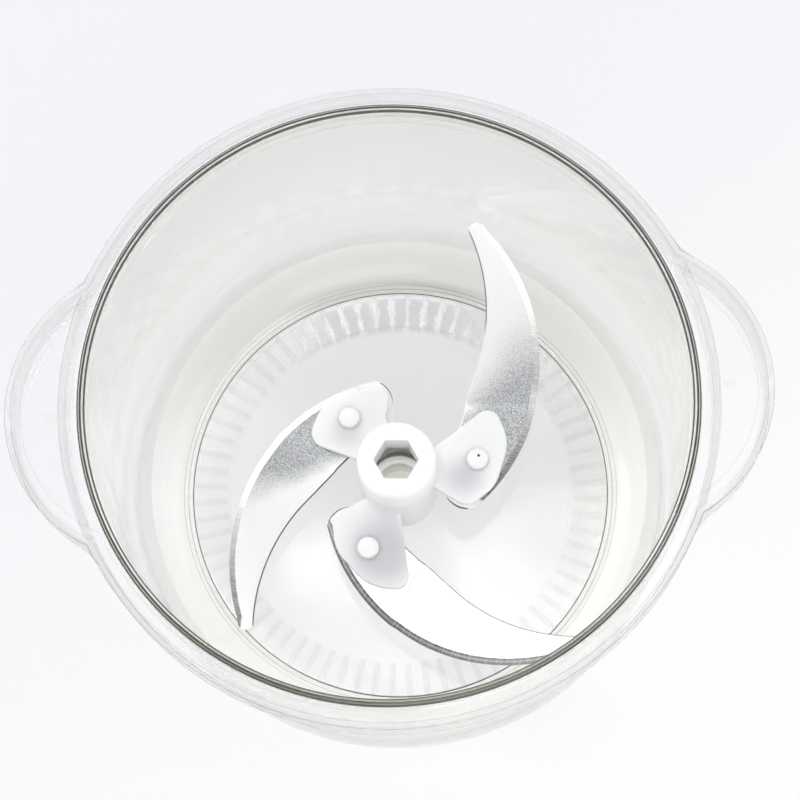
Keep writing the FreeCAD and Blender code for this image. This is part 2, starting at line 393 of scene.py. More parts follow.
class BowlSizes(bpy.types.PropertyGroup):
    """Sizes of the clear bowl."""

    height: length("Height", "Top of the lip above the table", 119.5)
    lip_outer: length("Lip outside", "Outer radius of the raised lip", 85.0)
    lip_inner: length("Lip inside", "Inner radius of the wall at the lip", 82.8)
    lip_round: length("Lip rounding", "Rounding of the lip's two edges", 0.7)
    heel_inner: length("Heel inside", "Inner radius of the wall at the top of the heel", 82.0)
    heel_round: length("Heel rounding", "Inner radius between wall and floor", 16.0)
    wall: length("Wall", "Thickness of wall and floor", 2.2)
    floor: length("Floor", "Upper face of the floor above the table", 5.5)
    flange_top: length("Flange level", "Upper face of the flange", 117.8)
    flange_radius: length("Flange radius", "Outer radius between the ears", 90.80)
    web: length("Flange thickness", "Thickness of the flange and the ears", 2.0)
    skirt_height: length("Skirt height", "Height of the turned-down rim", 12.0)
    skirt: length("Skirt thickness", "Thickness of the turned-down rim", 2.0)
    rim_round: length("Rim rounding", "Rounding of the upper outer edge", 0.9)
    ear_centre: length("Ear centre", "Distance of an ear's centre from the axis", 63.0)
    ear_radius: length("Ear radius", "Outer radius of an ear", 42.2)
    ear_blend: length("Ear blend", "Hollow radius between flange and ear", 20.0)
    gusset: length("Gusset reach", "How far the small rib reaches into the ear", 3.8)
    stub_radius: length("Stub radius", "Radius of the fixed stub on the floor", 9.05)
    stub_top: length("Stub top", "Upper face of the stub", 15.5)
    core_radius: length("Core radius", "Radius of the hollow in the stub", 6.8)
    columns: count("Columns", "Mesh columns round the bowl", 720)


class RingSizes(bpy.types.PropertyGroup):
    """Sizes of the ribbed ring under the floor."""

    inner: length("Inside", "Inner radius of the ring", 55.0)
    outer: length("Outside", "Outer radius of the ring", 68.6)
    base: length("Base", "Thickness of the ring's base", 1.4)
    rib_inner: length("Rib inside", "Radius at which a rib begins", 55.8)
    rib_outer: length("Rib outside", "Radius at which a rib ends", 66.6)
    rib_width: length("Rib width", "Width of a rib", 1.9)
    ribs: count("Ribs", "Number of ribs", 72)


class RotorSizes(bpy.types.PropertyGroup):
    """Sizes of the column, its arms, the blades and the rivets."""

    column_radius: length("Column radius", "Outer radius of the column", 12.15)
    column_foot: length("Column foot", "Lower end of the column", 5.5)
    column_top: length("Column top", "Upper end of the column", 46.5)
    column_round: length("Column rounding", "Rounding of the column's top edge", 2.2)
    bore: length("Bore", "Radius of the column's bore", 10.34)
    socket_flats: length("Socket", "Width across flats of the drive socket", 12.0)
    socket_depth: length("Socket depth", "Depth of the drive socket", 10.0)
    socket_turn: turn("Socket turn", "Angle of the socket's first corner", -4.15)
    arm_thick: length("Arm thickness", "Thickness of an arm", 2.2)
    arm_fillet: length("Arm fillet", "Fillet between arm and column", 2.0)
    stake_radius: length("Stake radius", "Distance of the stakes from the axis", 25.04)
    stake_turn: turn("Stake turn", "Angle of the first stake", 5.66)
    stake_side: length("Stake side", "Side of the square stake", 3.6)
    rivet_radius: length("Rivet radius", "Radius of a rivet's head", 3.5)
    rivet_height: length("Rivet height", "Height of a rivet's head", 1.9)
    level: length("First level", "Upper face of the highest blade", 29.1)
    level_step: length("Level step", "Drop from one blade to the next", 4.5)
    blade_thick: length("Blade thickness", "Thickness of the blade's sheet", 1.0)
    plate_thick: length("Plate thickness", "Thickness of a clamp plate", 2.0)
    bevel: length("Bevel", "Width of the ground bevel", 2.0)
    bevel_land: length("Edge", "Thickness left at the cutting edge", 0.35)
    bend_line: length("Bend line", "Distance of the bend from the stake", 16.0)
    bend_radius: length("Bend radius", "Middle radius of the bend", 5.5)
    sweep: turn("Sweep", "Angle of the blade to its arm", 83.0)


class Colours(bpy.types.PropertyGroup):
    """Colours of the finishes and of the stage."""

    wall_tint: colour("Wall tint", "Clear plastic of the wall", (0.985, 0.992, 0.930))
    # Grey of the floor towards its far side: painted shade
    floor_shaded_tint: colour("Floor tint", "Clear plastic of the floor's far half", (0.820, 0.826, 0.800))
    rim_tint: colour("Rim tint", "Clear plastic of the flange and ears", (0.992, 0.994, 0.995))
    # Colour of the painted dark lines at the clear edges: painted shade
    edge_line_shade: colour("Edge tint", "Deep colour at the lip's edges", (0.010, 0.011, 0.006))
    stub_tint: colour("Stub tint", "Thick plastic of the stub in the floor", (0.84, 0.86, 0.76))
    ring_tint: colour("Ring tint", "Clear soft plastic of the ring", (0.93, 0.935, 0.92))
    steel: colour("Steel", "Satin steel at the roots", (0.46, 0.465, 0.48))
    # Brighter steel towards the tips: painted highlight
    highlit_steel: colour("Bright steel", "Polished steel towards the tips", (0.985, 0.985, 0.985))
    white: colour("White", "White moulded plastic", (0.925, 0.925, 0.945))
    # Lighter white for the column's top and the rivets: painted highlight
    lit_white: colour("Bright white", "White plastic of the column", (0.985, 0.985, 0.985))
    sleeve: colour("Sleeve", "Matt plastic of the sleeve", (0.78, 0.80, 0.73))
    floor: colour("Floor", "Pale floor", (0.90, 0.90, 0.90))


class StageLook(bpy.types.PropertyGroup):
    """Camera and light."""

    distance: length("Camera distance", "Camera to the middle of the lip", 597.33)
    elevation: turn("Elevation", "Height of the camera", 74.096)
    azimuth: turn("Azimuth", "Camera's turn round the bowl", 4.3)
    roll: turn("Roll", "Camera's roll", -7.223)
    pan: turn("Pan", "Camera's small turn sideways", 0.296)
    tilt: turn("Tilt", "Camera's small turn upwards", 0.200)
    lens: bpy.props.FloatProperty(name="Lens", description="Focal length in millimetres", default=99.0)
    power: bpy.props.FloatProperty(
        name="Lamp power", description="Share of the lamps' full power", default=1.0
    )


# Finishes

STATIONS = {
    "top": {"step": 0, "turn": 0, "pitch": 18.2, "sweep": 0.0},
    "middle": {"step": 1, "turn": 240, "pitch": 12.6, "sweep": 3.6},
    "bottom": {"step": 2, "turn": 120, "pitch": -7.6, "sweep": 33.0},
}


# Painted shade on the far wall from the floor up: place in millimetres, brightness
FAR_WALL_SHADE = (
    (5, 0.71), (8, 0.70), (12, 0.79), (16, 0.91), (22, 0.985),
    (48, 0.995), (75, 0.955), (100, 0.86), (119, 0.83),
)


def far_rib_highlight_and_shade(paint, x, y, r):
    """Is 1 over the ring's ribs at the middle of the far side, where painted highlight and painted shade
    go.
    """
    on_band = paint.band(r, 55.5 * MM, 66.0 * MM, 0.5 * MM)
    return on_band * paint.step(y, 20 * MM, 50 * MM) * paint.step(abs(x), 40 * MM, 16 * MM)


def clear_bowl_finish(sizes, tints):
    """Clear hard plastic: painted shade greys its far side, painted dark lines mark its edges and a painted
    highlight whitens the floor over the far ribs; paler at the flange, with fine wear.
    """
    paint = Finish("clear_bowl_plastic")
    place = paint.place()
    x, y, z = paint.separate(place)
    r = (x * x + y * y) ** 0.5
    outside = paint.step(r, sizes.lip_outer + 0.1 * MM, sizes.lip_outer + 0.5 * MM)
    crease = sizes.heel_inner - sizes.heel_round
    cloud = paint.noise(place, 22.0, 3.0)
    # The far side of the wall is drawn greyer by height: painted shade
    far = paint.step(y, -5 * MM, 60 * MM)
    tinted = [(level, (tone * 0.992, tone, tone * 0.905)) for level, tone in FAR_WALL_SHADE]
    far_wall_shade = paint.ramp(z, 120 * MM, tinted)
    wall = paint.mix(far * (0.85 + cloud * 0.3), colour_of(tints.wall_tint), far_wall_shade)
    # The floor is drawn greyer towards the far side: painted shade
    grey = paint.step(y + x * 0.45, -35 * MM, 30 * MM)
    floor = paint.mix(grey, (0.985, 0.988, 0.98, 1.0), colour_of(tints.floor_shaded_tint))
    # Painted highlight: the floor turns white over the ribs at the far side
    floor = paint.mix(far_rib_highlight_and_shade(paint, x, y, r), floor, (0.985, 0.985, 0.99, 1.0))
    shadow = paint.band(r, crease + 1.5 * MM, crease + 5 * MM, 1.5 * MM) * paint.step(y, 58 * MM, 68 * MM)
    tint = paint.mix(paint.step(r, crease + 0.6 * MM, crease), wall, floor)
    tint = paint.mix(shadow * 0.90, tint, (0.38, 0.39, 0.34, 1.0))
    on_stub = paint.step(r, sizes.stub_radius + 0.6 * MM, sizes.stub_radius + 0.2 * MM)
    on_stub = on_stub * paint.step(z, sizes.stub_top - 2.6 * MM, sizes.stub_top - 2.4 * MM)
    tint = paint.mix(on_stub, tint, colour_of(tints.stub_tint))
    tint = paint.mix(outside, tint, colour_of(tints.rim_tint))

    ear_x = abs(x) - sizes.ear_centre
    ear = (ear_x * ear_x + y * y) ** 0.5 - sizes.ear_radius
    edge = (r - sizes.flange_radius).math("MINIMUM", ear)
    rim = sizes.flange_radius
    # Painted shade: dark lines at and near the clear edges, where refraction shows dark
    rim_lines = (
        paint.line(edge, -0.18 * MM, 0.18 * MM) * 0.70
        + paint.line(edge, -1.95 * MM, 0.15 * MM) * 0.46
        + paint.line(edge, -2.6 * MM, 0.12 * MM) * 0.26
        + paint.line(edge, -4.6 * MM, 0.28 * MM) * 0.22
        + paint.line(r, rim - 0.7 * MM, 0.14 * MM) * paint.step(edge, -2 * MM, -4 * MM) * 0.46
        + paint.line(r, rim - 2.5 * MM, 0.14 * MM) * paint.step(edge, -3 * MM, -5 * MM) * 0.30
    ) * paint.step(z, sizes.flange_top - 0.5 * MM, sizes.flange_top - 0.3 * MM) * outside
    top_face = paint.step(z, sizes.height - 1.3 * MM, sizes.height - 1.1 * MM)
    lip_lines = (
        paint.line(r, sizes.lip_outer - 0.26 * MM, 0.31 * MM)
        + paint.line(r, sizes.lip_outer - 1.0 * MM, 0.36 * MM)
        + paint.line(r, sizes.lip_inner + 0.05 * MM, 0.40 * MM)
    ) * top_face
    # Painted shade: the top of the lip is drawn darker at the near side
    near = paint.step(y, -45 * MM, -72 * MM)
    near_lip_shade = paint.band(r, sizes.lip_inner + 0.1 * MM, sizes.lip_outer - 0.3 * MM, 0.2 * MM)
    near_lip_shade = near_lip_shade * top_face * near
    low = paint.band(z, sizes.floor - 0.3 * MM, sizes.floor + 1.5 * MM, 0.3 * MM)
    foot_lines = (
        paint.line(r, crease + 0.5 * MM, 0.18 * MM)
        + paint.line(r, crease + 0.4 * MM, 0.30 * MM) * near * 0.6
        + paint.line(r, crease + 2.05 * MM, 0.14 * MM) * (0.7 - near * 0.3)
        + paint.line(r, crease + 3.4 * MM, 0.12 * MM) * (0.5 - near * 0.3)
        + paint.line(r, crease - 1.4 * MM, 0.12 * MM) * 0.35 * paint.step(y, 0.0, 30 * MM)
    ) * low
    stub_line = paint.line(r, sizes.stub_radius - 0.25 * MM, 0.18 * MM) * on_stub
    skirt_foot = sizes.flange_top - sizes.skirt_height
    foot_lines = foot_lines + paint.line(z, skirt_foot + 0.2 * MM, 0.40 * MM) * outside * 0.45
    lines = (rim_lines + lip_lines + foot_lines + stub_line * 0.8).math("MINIMUM", 1.0)
    tint = paint.mix(near_lip_shade * 0.85, tint, (0.15, 0.16, 0.09, 1.0))
    tint = paint.mix(lines, tint, colour_of(tints.edge_line_shade))

    upright = paint.step(z, 12 * MM, 30 * MM)
    rings = paint.noise(paint.combine(r, 0.0, z * 0.2), 2600.0, 4.0, 0.7)
    wear = paint.step(rings, 0.60, 0.72) * paint.step(z, 24 * MM, 6 * MM)
    haze = paint.noise(place, 60.0, 4.0, 0.6)
    waves = paint.noise(paint.scaled(place, (1.0, 1.0, 0.45)), 34.0, 2.5)
    in_grip = paint.step(r, sizes.flange_radius - 0.1 * MM, sizes.flange_radius + 0.2 * MM)
    in_grip = in_grip * paint.step(z, 115.8 * MM, 115.6 * MM)
    on_gusset = in_grip * paint.step(abs(y), 1.6 * MM, 1.2 * MM)
    pale = paint.band(z, 20 * MM, 52 * MM, 8 * MM)
    body = 0.64 - outside * 0.32 + on_stub * 0.30 - on_gusset * 0.26 - pale * 0.26
    surface = {
        "Base Color": tint,
        "Roughness": 0.012 + haze * 0.035 + wear * 0.05,
        "IOR": 1.49,
        "Alpha": body + (1 - body) * (lines + near_lip_shade * 0.8).math("MINIMUM", 1.0),
        "Normal": paint.bump(waves * upright + rings * 0.012, 0.9 * MM, 0.7),
    }
    return paint.clear(surface, 1.0, (0.975, 0.98, 0.97, 1.0))


def clear_ring_finish(sizes, tints):
    """Clear soft plastic with fine pebble; at the far side its ribs get a painted highlight and the gaps
    between them painted shade.
    """
    paint = Finish("clear_ring_plastic")
    place = paint.place()
    x, y, z = paint.separate(place)
    r = (x * x + y * y) ** 0.5
    cloud = paint.noise(place, 45.0, 3.0)
    streak = paint.noise(place, 150.0, 3.0, 0.7)
    beat = (y.math("ARCTAN2", x) * (sizes.ribs / (2 * pi)) + 100.0).math("FRACT")
    shown = far_rib_highlight_and_shade(paint, x, y, r)
    # Painted shade in the gaps between the ribs at the far side
    gap = paint.step(abs(beat - 0.5) + (streak - 0.5) * 1.1, 0.42, 0.26) * shown
    on_rib = paint.step(z, sizes.base, sizes.base + 0.3 * MM)
    soft = paint.mix(cloud, colour_of(tints.ring_tint), scaled_colour(tints.ring_tint, 0.97))
    soft = paint.mix(gap, soft, (0.62, 0.62, 0.64, 1.0))
    pebble = paint.noise(place, 900.0, 3.0)
    # Painted highlight: the ribs at the far side are made opaque white
    rib_highlight = on_rib * (shown * paint.step(streak, 0.40, 0.58) * 0.65 - 0.02)
    surface = {
        "Base Color": paint.mix(on_rib, soft, (0.99, 0.99, 0.99, 1.0)),
        "Roughness": 0.10 + cloud * 0.14,
        "IOR": 1.12,
        "Alpha": 0.12 + rib_highlight + gap * (1 - on_rib) * 0.40,
        "Normal": paint.bump(pebble, 0.15 * MM, 0.4),
    }
    return paint.clear(surface, 0.5, (0.98, 0.98, 0.975, 1.0))


# Painted light on the steel of each blade along its length in millimetres: where the painted sheen begins
# and ends, the bevel's painted reflection, the back edge's painted highlight and dark reflection
STEEL = {
    "top": {
        "painted_sheen": (48, 80),
        "bevel": (
            (0, 0.92), (3, 0.92), (4, 0.15), (20, 0.22), (30, 0.36), (37, 0.55),
            (40, 0.92), (44, 0.62), (56, 0.62), (64, 0.85), (75, 0.95),
        ),
        "back": ((0, 0.97), (58, 0.97), (64, 0.20), (97, 0.20)),
    },
    "bottom": {
        "painted_sheen": (50, 67),
        "bevel": ((0, 0.95), (52, 0.95), (62, 0.70), (75, 0.50), (85, 0.36), (97, 0.30)),
        "back": ((0, 0.13), (97, 0.16)),
    },
    "middle": {
        "painted_sheen": (-20, 8),
        "bevel": ((0, 0.22), (30, 0.13), (60, 0.19), (80, 0.32), (97, 0.38)),
        "split": 0.50,
        "back": ((0, 0.12), (97, 0.30)),
    },
}
BLADE_LENGTH = 97.0


def steel_finish(name, tints):
    """Satin steel, speckled near the root, smoother and, by a painted sheen, brighter towards the tip, with
    a cross-ground bevel that carries painted reflections.
    """
    paint = Finish("blade_steel_" + name)
    look = STEEL[name]
    place = paint.place()
    along, across, _ = paint.separate(paint.add("ShaderNodeUVMap", {"uv_map": "blade"}))
    inward, _, _ = paint.separate(paint.add("ShaderNodeUVMap", {"uv_map": "back"}))
    speckle = paint.noise(place, 2700.0, 1.5, 0.6)
    grain = paint.noise(paint.combine(along * 60.0, across * 2200.0, 0.0), 1.0, 3.0)
    cloud = paint.noise(place, 70.0, 2.0)
    # Painted sheen: the steel turns bright towards the tip, at a different place on each blade
    start, end = look["painted_sheen"]
    reach = along + across * across * 65.0 + cloud * (10 * MM)
    painted_sheen = paint.step(reach, start * MM, end * MM)
    dots = paint.step(speckle, 0.34, 0.66)
    satin = paint.mix(dots, scaled_colour(tints.steel, 0.60), scaled_colour(tints.steel, 1.44))
    body = paint.mix(painted_sheen, satin, colour_of(tints.highlit_steel))
    lines = paint.noise(paint.combine(along * 2400.0, across * 120.0, 0.0), 1.0, 2.0)
    ground = paint.step(across + lines * (0.25 * MM), 2.25 * MM, 2.0 * MM)
    cross = paint.step(lines, 0.35, 0.65)
    # Painted reflection: the bevel's brightness along each blade, different on each
    bevel = paint.ramp(along, BLADE_LENGTH * MM, look["bevel"])
    bevel = paint.mix(cross * 0.22, bevel, (0.98, 0.98, 0.98, 1.0))
    # Painted highlight: a lighter line along the middle of the bevel on the middle blade
    middle = paint.band(across, 0.75 * MM, 1.35 * MM, 0.25 * MM) * look.get("split", 0.0)
    bevel = paint.mix(middle, bevel, (0.80, 0.80, 0.80, 1.0))
    # Painted highlight and painted dark reflection: a thin line along the back edge
    back = paint.ramp(along, BLADE_LENGTH * MM, look["back"])
    body = paint.mix(paint.step(inward, 0.42 * MM, 0.24 * MM), body, back)
    # Painted highlight: the root end is white and hardly metal; its very end is a painted dark reflection
    root = paint.step(along, 7 * MM, 5 * MM)
    body = paint.mix(root, body, (0.97, 0.97, 0.97, 1.0))
    body = paint.mix(paint.step(along, 0.30 * MM, 0.12 * MM), body, (0.12, 0.12, 0.12, 1.0))
    rough = (0.38 - painted_sheen * 0.12 + speckle * 0.10) * (1 - ground) + ground * (0.20 + lines * 0.12)
    relief = (speckle * 0.6 + grain * 0.4) * (1 - ground) + lines * ground
    surface = {
        "Base Color": paint.mix(ground, body, bevel),
        "Metallic": 1.0 - root * 0.8,
        "Roughness": rough,
        "Normal": paint.bump(relief, 0.05 * MM, 0.4),
    }
    return paint.solid(surface)


SHADED_WHITE = (0.36, 0.36, 0.39, 1.0)


def white_finish(name, tint, painted_shades=(), mark=None, upper=None, shaded_rims=(), depth=3 * MM):
    """White moulded plastic with flow clouds and a fine pebble.

    Each of the shades is grey painted shade, given by a place, the distance at which it is nothing, that at
    which it is full, and its strength. The rims are painted shade that darkens a round head towards its
    edge. The mark is one small dark dot.
    Upper is a level and a lighter white above it, a painted highlight.
    Depth is how far light goes into the plastic.
    """
    paint = Finish(name)
    place = paint.place()
    cloud = paint.noise(place, 70.0, 3.0)
    flow = paint.noise(paint.scaled(place, (1.0, 1.0, 0.3)), 260.0, 2.0)
    deeper = colour_of([tint[0] * 0.965, tint[1] * 0.968, tint[2] * 0.985])
    shade = paint.mix(cloud * 0.6 + flow * 0.25, colour_of(tint), deeper)
    # Above a level the plastic is drawn in a lighter white: painted highlight
    if upper:
        level, above = upper
        high = paint.step(paint.separate(place)[2], level - 2 * MM, level + 2 * MM)
        shade = paint.mix(high, shade, colour_of(above))
    plan = paint.scaled(place, (1.0, 1.0, 0.0))
    # Soft grey painted shade about each place
    for spot, none, full, strength in painted_shades:
        gap = paint.distance(plan, (spot[0], spot[1], 0.0))
        shade = paint.mix(paint.step(gap, none, full) * strength, shade, SHADED_WHITE)
    # Painted shade darkening each round head towards its edge
    nearest = 1.0
    for spot in shaded_rims:
        nearest = paint.math("MINIMUM", nearest, paint.distance(plan, (spot[0], spot[1], 0.0)))
    if shaded_rims:
        shade = paint.mix(paint.step(nearest, 2.7 * MM, 3.45 * MM) * 0.30, shade, SHADED_WHITE)
    if mark:
        dot = paint.step(paint.distance(place, mark), 0.55 * MM, 0.35 * MM)
        shade = paint.mix(dot, shade, (0.05, 0.05, 0.05, 1.0))
    pebble = paint.noise(place, 1100.0, 2.0)
    surface = {
        "Base Color": shade,
        "Roughness": 0.26 + cloud * 0.14,
        "IOR": 1.49,
        "Subsurface Weight": 0.6,
        "Subsurface Radius": (1.0, 1.0, 1.0),
        "Subsurface Scale": depth,
        "Normal": paint.bump(pebble + flow * 0.5, 0.05 * MM, 0.5),
    }
    return paint.solid(surface)


def stake_spot(s, name, dx=0.0, dy=0.0):
    """Where the stake of an arm is, moved by a little in millimetres."""
    x, y = on_circle((0, 0), s.stake_radius, s.stake_turn + radians(STATIONS[name]["turn"]))
    return x + dx * MM, y + dy * MM


# Bowl

class Rim:
    """Outline of the flange and the ears in polar form."""

    def __init__(self, sizes):
        self.sizes = sizes
        to_axis = sizes.flange_radius + sizes.ear_blend
        to_ear = sizes.ear_radius + sizes.ear_blend
        x = (to_axis ** 2 - to_ear ** 2 + sizes.ear_centre ** 2) / (2 * sizes.ear_centre)
        self.blend = (x, sqrt(to_axis ** 2 - x ** 2))
        self.join = atan2(self.blend[1], x)
        low, high = 0.0, self.join
        for _ in range(50):
            middle = (low + high) / 2
            if self.radius(middle, sizes.skirt) > sizes.flange_radius:
                low = middle
            else:
                high = middle
        self.pocket = low

    def radius(self, angle, inset):
        """Distance of the outline, moved inward by inset, from the axis."""
        fold = abs((angle + pi / 2) % pi - pi / 2)
        if fold >= self.join:
            return self.sizes.flange_radius - inset
        x, y = self.blend
        lean = atan2(y, x - self.sizes.ear_centre)
        ear = self.sizes.ear_radius - inset
        if fold <= atan2(ear * sin(lean), self.sizes.ear_centre + ear * cos(lean)):
            across = self.sizes.ear_centre * sin(fold)
            return self.sizes.ear_centre * cos(fold) + sqrt(ear ** 2 - across ** 2)
        far = hypot(x, y)
        hollow = self.sizes.ear_blend + inset
        return far * cos(fold - self.join) - sqrt(hollow ** 2 - (far * sin(fold - self.join)) ** 2)

    def angles(self):
        """All columns, with one exactly at each end of both grip pockets."""
        turns = [2 * pi * n / self.sizes.columns for n in range(self.sizes.columns)]
        for ear in (0, pi):
            turns += [(ear + self.pocket) % (2 * pi), (ear - self.pocket) % (2 * pi)]
        return sorted(turns)

    def holds_pocket(self, angle):
        return abs((angle + pi / 2) % pi - pi / 2) <= self.pocket + 1e-9


def inner_section(s):
    """From the stub's middle over floor, heel, wall and lip to the flange."""
    heel = (s.heel_inner - s.heel_round, s.floor + s.heel_round)
    edge, foot, ledge = 0.6 * MM, 0.05 * MM, 0.3 * MM
    lip = s.lip_round
    points = [(0, s.stub_top), (3 * MM, s.stub_top), (6 * MM, s.stub_top)]
    points += arc((s.stub_radius - edge, s.stub_top - edge), edge, 90, 0, 4)
    # The foot's round is less than the sleeve's running gap, so the sleeve clears it
    points += arc((s.stub_radius + foot, s.floor + foot), foot, 180, 270, 4)
    points += [(s.stub_radius + (heel[0] - s.stub_radius) * n / 8, s.floor) for n in range(1, 8)]
    points += arc(heel, s.heel_round, -90, 0, 16)
    top = s.height - lip
    for n in range(1, 12):
        share = n / 12
        radius = s.heel_inner + (s.lip_inner - s.heel_inner) * share
        points.append((radius, heel[1] + (top - heel[1]) * share))
    points += arc((s.lip_inner + lip, top), lip, 180, 90, 6)
    points += arc((s.lip_outer - lip, top), lip, 90, 0, 6)
    points += arc((s.lip_outer + ledge, s.flange_top + ledge), ledge, 180, 270, 3)
    return points


def outer_section(s):
    """From the groove's roof down the outside of the wall and heel to the core of the stub."""
    heel = (s.heel_inner - s.heel_round, s.floor + s.heel_round)
    outer = s.heel_round + s.wall
    roof = s.flange_top - s.web
    top_r = s.lip_outer
    corner = 0.5 * MM
    points = arc((top_r + corner, roof - corner), corner, 90, 180, 3)
    for n in range(1, 12):
        share = n / 12
        level = roof - corner + (heel[1] - roof + corner) * share
        points.append((top_r + (heel[0] + outer - top_r) * share, level))
    points += arc(heel, outer, 0, -90, 16)
    under = s.floor - s.wall
    points += [(heel[0] + (s.core_radius - heel[0]) * n / 8, under) for n in range(1, 9)]
    points += [(s.core_radius, s.stub_top - s.wall), (0, s.stub_top - s.wall)]
    return points


def bowl_mesh(s):
    """One closed skin: every column is a section through the wall, and opens into a pocket at the ears."""
    rim = Rim(s)
    angles = rim.angles()
    work = bmesh.new()
    inner, outer = inner_section(s), outer_section(s)
    roof, low = s.flange_top - s.web, s.flange_top - s.skirt_height
    chamfer = 0.3 * MM
    columns = []
    for angle in angles:
        reach = rim.radius(angle, 0)
        ledge = s.lip_outer + 0.3 * MM
        rounding = arc((reach - s.rim_round, s.flange_top - s.rim_round), s.rim_round, 90, 0, 5)
        first = inner + [(ledge + (reach - s.rim_round - ledge) * n / 3, s.flange_top) for n in (1, 2)]
        first += rounding + [(reach, low + 3 * MM), (reach, low + chamfer), (reach - chamfer, low)]
        groove = s.flange_radius - s.skirt
        last = [(groove + chamfer, low), (groove, low + chamfer)]
        last += [(groove, roof - 1 * MM), (groove - 0.4 * MM, roof)]
        last += outer
        if rim.holds_pocket(angle):
            outside = max(rim.radius(angle, s.skirt), s.flange_radius)
            pocket = [(outside, low), (outside, roof), (s.flange_radius, roof), (s.flange_radius, low)]
        else:
            pocket = [(min(s.flange_radius, reach - 1 * MM), low)]
        made = []
        for part in (first, pocket, last):
            made.append([work.verts.new((r * cos(angle), r * sin(angle), z)) for r, z in part])
        columns.append(made)
    for here, after in zip(columns, columns[1:] + columns[:1]):
        first = [here[0], after[0]]
        last = [here[2], after[2]]
        if len(here[1]) == len(after[1]):
            strips = [[here[0] + here[1] + here[2], after[0] + after[1] + after[2]]]
        else:
            strips = [
                [first[0] + here[1][:1], first[1] + after[1][:1]],
                [here[1][-1:] + last[0], after[1][-1:] + last[1]],
            ]
        for left, right in strips:
            for n in range(len(left) - 1):
                corners = [left[n], left[n + 1], right[n + 1], right[n]]
                work.faces.new(corners)
    bmesh.ops.remove_doubles(work, verts=work.verts, dist=1e-7)
    gussets(work, s)
    mesh = closed(work, "clear_bowl")
    smooth(mesh, 32)
    return mesh


def gussets(work, s):
    """The small three-cornered rib in each grip pocket, a hair clear of the walls round it."""
    roof = s.flange_top - s.web - 0.03 * MM
    near = s.flange_radius + 0.03 * MM
    far = s.flange_radius + s.gusset
    low = s.flange_top - s.skirt_height + 2 * MM
    for side in (1, -1):
        outline = [(near, low + 0.4 * MM), (near, roof), (far, roof), (far, roof - 1.0 * MM)]
        faces = [[work.verts.new((side * x, y, z)) for x, z in outline] for y in (-1 * MM, 1 * MM)]
        work.faces.new(faces[0])
        work.faces.new(faces[1][::-1])
        for n in range(4):
            m = (n + 1) % 4
            work.faces.new([faces[0][n], faces[1][n], faces[1][m], faces[0][m]])


# Ring

def ring_rule(sizes, material):
    """A flat ring with radial bars on it, each a hair inside its space."""
    rule = Rule("Ribbed ring", sizes)
    g = rule.given
    hair = 0.00002
    path = rule.add("GeometryNodeCurvePrimitiveCircle", None, {
        "Resolution": 288,
        "Radius": (g["Inside"] + g["Outside"]) / 2,
    })
    section = rule.add("GeometryNodeCurvePrimitiveQuadrilateral", None, {
        "Width": g["Outside"] - g["Inside"],
        "Height": g["Base"],
    })
    base = rule.add("GeometryNodeCurveToMesh", None, {"Curve": path, "Profile Curve": section})
    base = rule.moved(base, Translation=rule.combine(0.0, 0.0, g["Base"] / 2))
    long = g["Rib outside"] - g["Rib inside"]
    tall = g["Rib top"] - g["Base"]
    bar = rule.add("GeometryNodeMeshCylinder", None, {
        "Vertices": 16,
        "Side Segments": 6,
        "Radius": 0.5,
        "Depth": long,
    })
    bar = rule.moved(bar, Rotation=(0.0, pi / 2, 0.0))
    bar = rule.moved(
        bar,
        Translation=rule.combine(0.0, 0.0, g["Base"] + tall / 2 + hair),
        Scale=rule.combine(1.0, g["Rib width"], tall - 2 * hair),
    )
    bar = rule.moved(bar, Translation=rule.combine((g["Rib inside"] + g["Rib outside"]) / 2, 0.0, 0.0))
    number = rule.add("GeometryNodeInputIndex")
    spin = rule.combine(0.0, 0.0, number * (2 * pi) / g["Ribs"])
    rule.end(rule.joined(base, rule.copies(rule.spots(g["Ribs"]), bar, spin)), material)
    return rule


# Column and arms

# Outline of an arm with its stake on +X, in millimetres: corners with their rounding, then the root's
# radius and the angles at which it begins and ends
ARM_CORNERS = [(32.5, 17.2, 4.0), (35.9, 4.5, 14.0), (29.4, -9.1, 12.0), (19.8, -14.5, 4.5)]
LOW_ARM_CORNERS = [
    (27.5, 15.2, 5.0), (33.7, 4.7, 8.0), (31.7, -5.3, 14.0), (26.1, -18.6, 4.2), (18.4, -9.4, 3.0),
]
ARM_ROOT = (9.6, 23.5, -30.5)


def arm_outline(arm_corners):
    """Kidney outline of an arm with its stake on +X; the lowest arm has a shorter outer lobe."""
    root, first, last = ARM_ROOT
    start = on_circle((0, 0), root, radians(first))
    finish = on_circle((0, 0), root, radians(last))
    corners = [(x, y) for x, y, _ in arm_corners]
    points = [start]
    for n, corner in enumerate(corners):
        after = (corners + [finish])[n + 1]
        points += tangent_corner(points[-1], corner, after, arm_corners[n][2], 14)
    points.append(finish)
    return [(x * MM, y * MM) for x, y in points]


